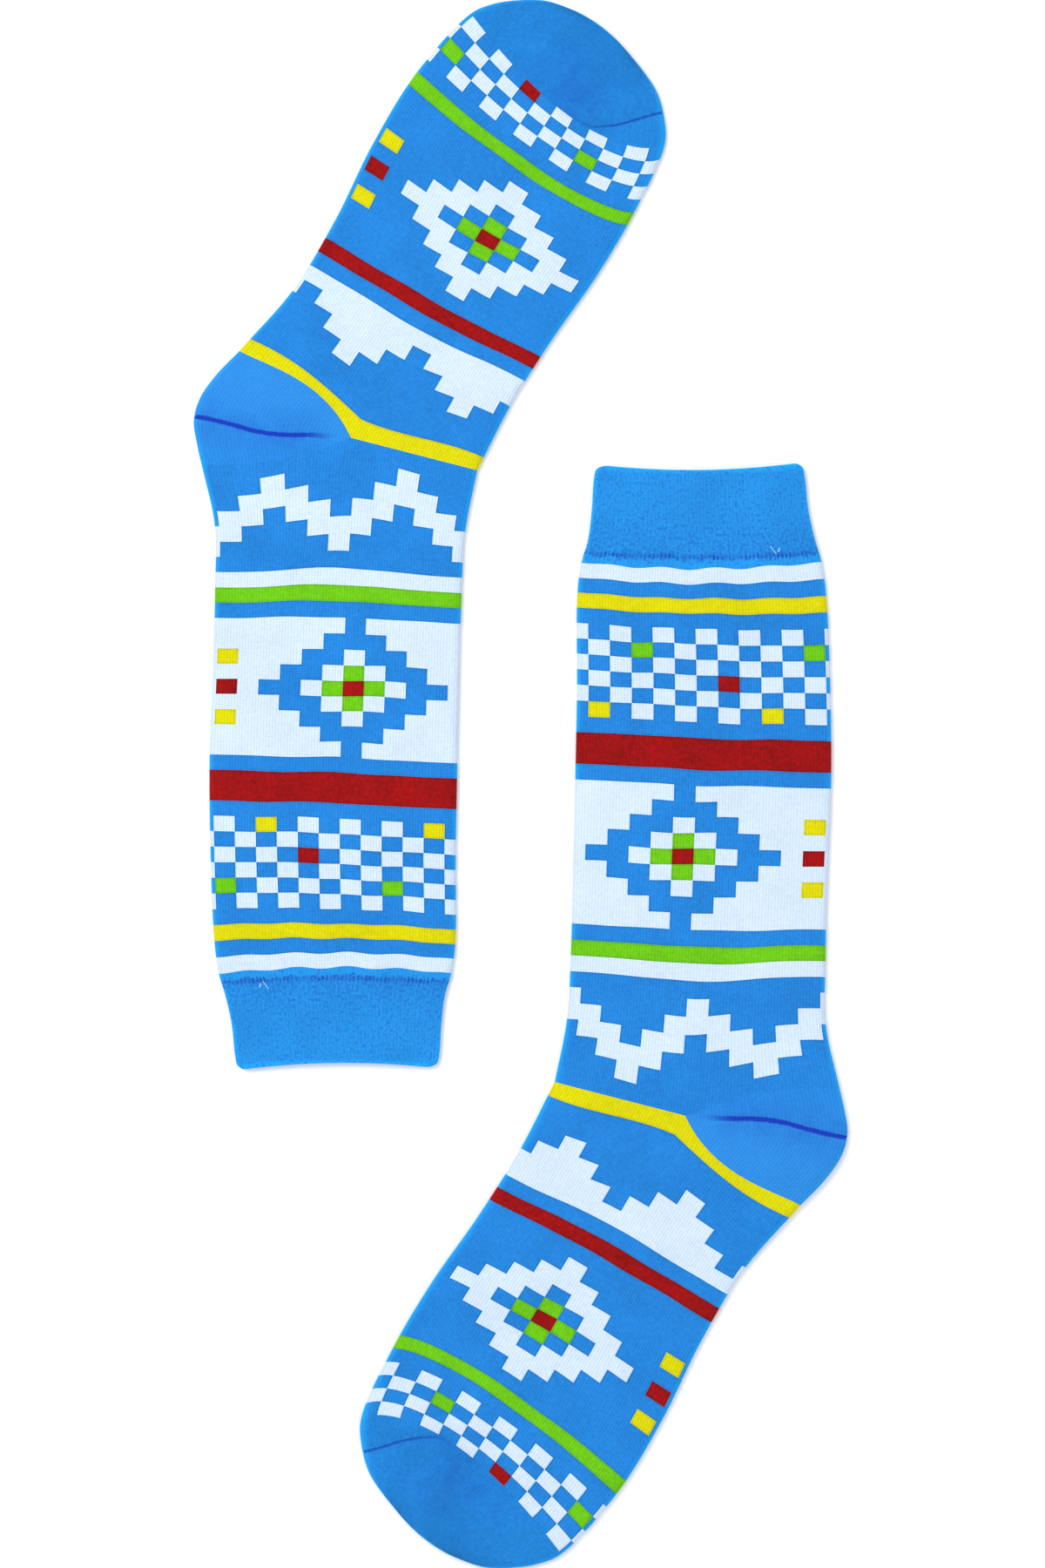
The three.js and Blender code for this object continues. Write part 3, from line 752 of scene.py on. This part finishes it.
def knitted(name, yarn, fold_highlight=None, stitches=BLOCK_STITCHES, relief=0.14, outline=0.0, mottle=0.12,
            marks=()):
    """Dyed yarn in plain knitting: rows of small V stitches, a matt surface with a soft bloom of
    fibre at the edges, and dye that is a little uneven. The colour given for folds is a painted
    highlight, mixed in on the outermost line of a folded edge. marks are darker or paler places,
    painted shade and painted light among them: each gives its colour, the function that makes the
    nodes for how strongly it shows, and that function's last value, a width in millimetres or a strength."""
    material = bpy.data.materials.new(name)
    material.use_nodes = True
    tree = material.node_tree
    tree.nodes.clear()
    knit_map = add(tree, "ShaderNodeUVMap", {}, uv_map="knit")
    measures = add(tree, "ShaderNodeSeparateXYZ", {"Vector": knit_map})
    place = add(tree, "ShaderNodeTexCoord", {}).outputs["Object"]
    fine = add(tree, "ShaderNodeTexNoise", {
        "Vector": place, "Scale": 1 / (FIBRE_GRAIN * MM), "Detail": 3})
    height = stitch_height(tree, measures, stitches)
    bump = add(tree, "ShaderNodeBump", {"Height": height, "Strength": V_BUMP, "Distance": relief * MM})
    shade = yarn_tone_and_stitch_shade(tree, place, fine, height, mottle)
    # A thin darker outline where two yarns meet: painted shade along the slightly sunken join of the colour
    # blocks
    if outline:
        change = add(tree, "ShaderNodeAttribute", {}, attribute_name="colour_change").outputs["Fac"]
        line = add(tree, "ShaderNodeMapRange", {
            "Value": change, "From Min": OUTLINE_FROM, "To Max": outline})
        left = add(tree, "ShaderNodeMath", {0: 1.0, 1: line}, operation="SUBTRACT")
        shade = add(tree, "ShaderNodeMath", {0: shade, 1: left}, operation="MULTIPLY")
    colour = add(tree, "ShaderNodeVectorMath", {0: linear(yarn)[:3], "Scale": shade}, operation="SCALE")
    # Painted highlight: a brighter colour mixed in along the folded edges
    if fold_highlight:
        fold = add(tree, "ShaderNodeAttribute", {}, attribute_name="fold").outputs["Fac"]
        bright = add(tree, "ShaderNodeMath", {0: fold, 1: FOLD_SHARE}, operation="MULTIPLY")
        drawn = linear(fold_highlight)[:3]
        colour = add(tree, "ShaderNodeMix", {"Factor": bright, "A": colour, "B": drawn}, data_type="VECTOR")
        colour = colour.outputs["Result"]
    for mark_colour, strength, size in marks:
        shows = strength(tree, measures, fine, size)
        mark = linear(mark_colour)[:3]
        colour = add(tree, "ShaderNodeMix", {"Factor": shows, "A": colour, "B": mark}, data_type="VECTOR")
        colour = colour.outputs["Result"]
    surface = add(tree, "ShaderNodeBsdfPrincipled", {
        "Base Color": colour,
        "Roughness": 0.85,
        "Specular IOR Level": 0.15,
        "Sheen Weight": 0.3,
        "Sheen Roughness": 0.4,
        "Sheen Tint": linear(fold_highlight or yarn),
        "Normal": bump,
    })
    add(tree, "ShaderNodeOutputMaterial", {"Surface": surface})
    return material


# The marks. Their functions all take the same things, so that knitted can call any of them.

SEAM_RAGGED = 0.7            # millimetres that the stitches push the line's edges about
SEAM_SOFT_EDGE = 0.7         # millimetres over which the line ends sideways
SEAM_STRENGTH = 0.95


def seam_line_and_crease_shadow(tree, measures, fine, half_width):
    """A dark line along a seam, broken up a little by the stitches and fading out at its end: on the heel
    it is painted shadow in the gore's crease, and on the toe the linked seam.
    """
    aside = add(tree, "ShaderNodeAttribute", {}, attribute_name="seam_aside").outputs["Fac"]
    shows = add(tree, "ShaderNodeAttribute", {}, attribute_name="seam_shows").outputs["Fac"]
    away = add(tree, "ShaderNodeMath", {0: aside}, operation="ABSOLUTE")
    rough = add(tree, "ShaderNodeMath", {0: fine, 1: SEAM_RAGGED, 2: away}, operation="MULTIPLY_ADD")
    line = add(tree, "ShaderNodeMapRange", {
        "Value": rough, "From Min": half_width, "From Max": half_width + SEAM_SOFT_EDGE,
        "To Min": SEAM_STRENGTH, "To Max": 0.0}, interpolation_type="SMOOTHSTEP")
    return add(tree, "ShaderNodeMath", {0: line, 1: shows}, operation="MULTIPLY")


def pouch_painted_light(tree, measures, fine, strength):
    """Painted light: paler over the heel's pouch."""
    pouch = add(tree, "ShaderNodeAttribute", {}, attribute_name="pouch").outputs["Fac"]
    return add(tree, "ShaderNodeMath", {0: pouch, 1: strength}, operation="MULTIPLY")


CREASE_CONTRAST = 0.6        # how much stronger and weaker the painted shade is from patch to patch


def hollow_shade(tree, measures, fine, strength):
    """Painted soft shade where the cloth sinks, in small uneven patches."""
    depth = add(tree, "ShaderNodeAttribute", {}, attribute_name="hollow").outputs["Fac"]
    place = add(tree, "ShaderNodeTexCoord", {}).outputs["Object"]
    patches = add(tree, "ShaderNodeTexNoise", {
        "Vector": place, "Scale": 1 / (CREASE_PATCH * MM), "Detail": 4, "Roughness": 0.7,
        "Distortion": 0.6})
    patchy = add(tree, "ShaderNodeMapRange", {
        "Value": patches, "From Min": 0.3, "From Max": 0.7,
        "To Min": (1 - CREASE_CONTRAST) * strength, "To Max": (1 + CREASE_CONTRAST) * strength})
    return add(tree, "ShaderNodeMath", {0: depth, 1: patchy}, operation="MULTIPLY")


WELT_STRAY = 5.0             # millimetres from the highest to the lowest place that they stray to
WELT_FULL = 0.4              # this far from their line, in millimetres, they still show fully
WELT_END = 1.1               # and this far away they end
DASH_FULL = 0.15             # the same across a stitch, in ribs from its middle
DASH_END = 0.35
BETWEEN_DASHES = 0.35        # what still shows between two stitches
TENSION_PER_RIB = 0.17       # how fast the tension changes round the cuff
SLACK = 0.4                  # how much a slack stitch shows, against 1 for a tight one


def welt_stitches(tree, measures, fine, strength):
    """Short upright stitches, about one in each rib, that close the double cuff. They are drawn
    tight in some places and hardly show in others."""
    row = add(tree, "ShaderNodeMath", {0: measures.outputs["Y"], 1: -WELT_LINE}, operation="ADD")
    stray = add(tree, "ShaderNodeMath", {0: fine, 1: -0.5}, operation="ADD")
    off = add(tree, "ShaderNodeMath", {0: stray, 1: WELT_STRAY, 2: row}, operation="MULTIPLY_ADD")
    away = add(tree, "ShaderNodeMath", {0: off}, operation="ABSOLUTE")
    band = add(tree, "ShaderNodeMapRange", {
        "Value": away, "From Min": WELT_FULL, "From Max": WELT_END, "To Min": 1.0, "To Max": 0.0})
    rib = add(tree, "ShaderNodeMath", {0: measures.outputs["X"], 1: 0.5}, operation="PINGPONG")
    dash = add(tree, "ShaderNodeMapRange", {
        "Value": rib, "From Min": DASH_FULL, "From Max": DASH_END,
        "To Min": 1.0, "To Max": BETWEEN_DASHES})
    round_cuff = add(tree, "ShaderNodeCombineXYZ", {"X": measures.outputs["X"]})
    tension = add(tree, "ShaderNodeTexNoise", {
        "Vector": round_cuff, "Scale": TENSION_PER_RIB, "Detail": 3})
    tight = add(tree, "ShaderNodeMapRange", {
        "Value": tension, "From Min": 0.4, "From Max": 0.58,
        "To Min": SLACK * strength, "To Max": strength})
    stitch = add(tree, "ShaderNodeMath", {0: band, 1: dash}, operation="MULTIPLY")
    return add(tree, "ShaderNodeMath", {0: stitch, 1: tight}, operation="MULTIPLY")


# How the painted shade between the ribs breaks into streaks and specks
STREAK_SHRINK = 0.6          # up the cuff, which draws the streaks out
STREAKS_PER_RIB = 1.4
SPECK_WEIGHT = 0.8           # of the fibre's grain, against 1 for the streaks
SPECKS_FROM = 0.84           # their sum where a speck starts
SPECKS_FULL = 1.14
MORE_ABOVE_WELT = (20, 0.1)  # how high up there are more specks, in millimetres, and how many more
FEWER_UNDER_WELT = (1.6, -0.16)


def rib_hollow_shade(tree, measures, fine, strength):
    """Painted shade in the hollows between ribs, in uneven upright streaks: more of it just above the
    welt line, and hardly any under it."""
    above = measures.outputs["Y"]
    shrunk = add(tree, "ShaderNodeMath", {0: above, 1: STREAK_SHRINK}, operation="MULTIPLY")
    drawn_out = add(tree, "ShaderNodeCombineXYZ", {"X": measures.outputs["X"], "Y": shrunk})
    streak = add(tree, "ShaderNodeTexNoise", {
        "Vector": drawn_out, "Scale": STREAKS_PER_RIB, "Detail": 3})
    top, more_above = MORE_ABOVE_WELT
    near_welt = add(tree, "ShaderNodeMapRange", {
        "Value": above, "From Min": WELT_LINE, "From Max": top, "To Min": more_above, "To Max": 0.0})
    bottom, fewer_under = FEWER_UNDER_WELT
    under_welt = add(tree, "ShaderNodeMapRange", {
        "Value": above, "From Min": bottom, "From Max": WELT_LINE, "To Min": fewer_under, "To Max": 0.0})
    speck = add(tree, "ShaderNodeMath", {0: fine, 1: SPECK_WEIGHT, 2: streak}, operation="MULTIPLY_ADD")
    more = add(tree, "ShaderNodeMath", {0: speck, 1: near_welt}, operation="ADD")
    left = add(tree, "ShaderNodeMath", {0: more, 1: under_welt}, operation="ADD")
    return add(tree, "ShaderNodeMapRange", {
        "Value": left, "From Min": SPECKS_FROM, "From Max": SPECKS_FULL,
        "To Min": 0.0, "To Max": strength})


THREAD_SOFT_EDGE = 0.25
THREAD_STRENGTH = 0.7


def thread_ends(tree, measures, fine, half_width):
    """Two short ends of pale thread, left where the welt's stitching was cut."""
    away = add(tree, "ShaderNodeAttribute", {}, attribute_name="thread_away").outputs["Fac"]
    return add(tree, "ShaderNodeMapRange", {
        "Value": away, "From Min": half_width, "From Max": half_width + THREAD_SOFT_EDGE,
        "To Min": THREAD_STRENGTH, "To Max": 0.0})


# Mercerised cotton jersey in five dyed yarns: smooth and matt, bright, clear colours.
# The painted highlight colour on the folded edges of the blue cloth
FOLD_HIGHLIGHT_BLUE = "#16aaff"
JERSEY = {
    "b": knitted("blue_cotton_jersey", "#1f7cce", fold_highlight=FOLD_HIGHLIGHT_BLUE, outline=0.18, mottle=0.16),
    "w": knitted("white_cotton_jersey", "#c9dbf0", mottle=0.08),
    "y": knitted("yellow_cotton_jersey", "#d1cc00", outline=0.2, mottle=0.12),
    "r": knitted("dark_red_cotton_jersey", "#920709", outline=0.3, mottle=0.36),
    "g": knitted("lime_cotton_jersey", "#67bd11", outline=0.26, mottle=0.16),
}
# The heel is the same blue yarn, smooth, with painted light over the pouch, painted soft shade beside the
# gore and its gore line in painted shadow.
HEEL_JERSEY = knitted("smooth_blue_heel_jersey", "#2281d4", fold_highlight=FOLD_HIGHLIGHT_BLUE, marks=[
    ("#4096e6", pouch_painted_light, 0.22),
    ("#1c5fc0", hollow_shade, 0.35),
    ("#1230ae", seam_line_and_crease_shadow, 0.9),
])
# The toe is denser and a little darker, with painted soft shade where its cloth sinks and the thin line
# where it is linked shut.
TOE_JERSEY = knitted("dense_blue_toe_jersey", "#1d7fd0", fold_highlight=FOLD_HIGHLIGHT_BLUE, mottle=0.18, marks=[
    ("#1858b2", hollow_shade, 0.4),
    ("#164ca8", seam_line_and_crease_shadow, 0.5),
])
# The cuff is elastic rib, dry, with painted shade in speckled streaks between its ribs, and the stitches
# that close its double welt.
CUFF_RIB = knitted(
    "blue_elastic_rib", "#2089d5", fold_highlight=FOLD_HIGHLIGHT_BLUE, stitches=1, relief=0.05, mottle=0.18,
    marks=[
        ("#185cb8", rib_hollow_shade, 0.7),
        ("#1745a4", welt_stitches, 1.0),
        ("#b4eaff", thread_ends, 0.1),
    ],
)


# Knitting one sock, and laying a copy of it for each sock of the pair

SMOOTH_BELOW = math.radians(50)   # edges flatter than this are shaded smooth
MAKERS = {"cuff": make_cuff, "leg": make_leg, "heel": make_heel, "foot": make_foot, "toe": make_toe}


def box_of(pieces):
    corners = np.array([Vector(corner) for piece in pieces for corner in piece.bound_box])
    return corners.min(axis=0), corners.max(axis=0)


def copy_of(piece):
    copied = piece.copy()
    copied.data = piece.data.copy()
    bpy.context.collection.objects.link(copied)
    return copied


def lay_sock(name, made, turn, stretch):
    """Turns and stretches the pieces of a sock and lays them where its solids are."""
    pieces = {part: copy_of(piece) for part, (piece, _) in made.items()}
    for piece in pieces.values():
        piece.data.transform(Matrix.Rotation(turn, 4, "Z") @ Matrix.Diagonal((stretch, stretch, 1, 1)))
        piece.data.update()
    bpy.context.view_layer.update()
    boxes = [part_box(f"{name}_{part}") for part in pieces]
    low = np.min([box[0] for box in boxes], axis=0)
    high = np.max([box[1] for box in boxes], axis=0)
    made_low, made_high = box_of(pieces.values())
    shift = (low + high - made_low - made_high) / 2
    shift[2] = 0
    for part, piece in pieces.items():
        node = f"{name}_{part}"
        piece.data.transform(Matrix.Translation(shift))
        piece.name = f"{node}_knitting"
        piece.data.name = piece.name
        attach(piece, "root")
        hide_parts(node)


made = {}
for part, make in MAKERS.items():
    made[part] = make()
    bpy.ops.object.shade_smooth_by_angle(angle=SMOOTH_BELOW)

# Floor

FLOOR_SIZE = 6
FLOOR_GAP = 0.0001           # just under the socks, so that it doesn't cut into them
bpy.ops.object.select_all(action="DESELECT")
bpy.ops.mesh.primitive_plane_add(size=FLOOR_SIZE, location=(0, 0, -FLOOR_GAP))
floor = bpy.context.object
floor.name = "floor"
paper = bpy.data.materials.new("matt_white_paper")
paper.use_nodes = True
paper_surface = paper.node_tree.nodes["Principled BSDF"]
paper_surface.inputs["Base Color"].default_value = linear("#fafafa")
paper_surface.inputs["Roughness"].default_value = 0.95
paper_surface.inputs["Specular IOR Level"].default_value = 0.1
floor.data.materials.append(paper)

for name, sock in SOCKS.items():
    lay_sock(name, made, sock["turn"], sock["stretch"])
for piece, _ in made.values():
    bpy.data.objects.remove(piece)

# Camera, straight above

VIEW_CENTRE = (0.0007, 0.0)
CAMERA_HEIGHT = 1.65
bpy.ops.object.camera_add(location=(*VIEW_CENTRE, CAMERA_HEIGHT + FOLD_RADIUS * MM), rotation=(0, 0, 0))
camera = bpy.context.object
camera.data.lens = 100
camera.data.sensor_width = 36
bpy.context.scene.camera = camera

# Light

world = bpy.data.worlds.new("studio")
world.use_nodes = True
world.node_tree.nodes["Background"].inputs["Color"].default_value = linear("#ffffff")
world.node_tree.nodes["Background"].inputs["Strength"].default_value = 0.74
bpy.context.scene.world = world

SOFTBOXES = [
    # x, y, z, size, watts
    (-0.8, 0.6, 1.6, 0.9, 20),
    (0.9, -0.7, 1.7, 1.4, 7),
]
for x, y, z, size, watts in SOFTBOXES:
    bpy.ops.object.light_add(type="AREA", location=(x, y, z))
    softbox = bpy.context.object
    softbox.data.size = size
    softbox.data.energy = watts
    softbox.rotation_euler = Vector((x, y, z)).to_track_quat("Z", "Y").to_euler()

bpy.context.scene.view_settings.view_transform = "Standard"
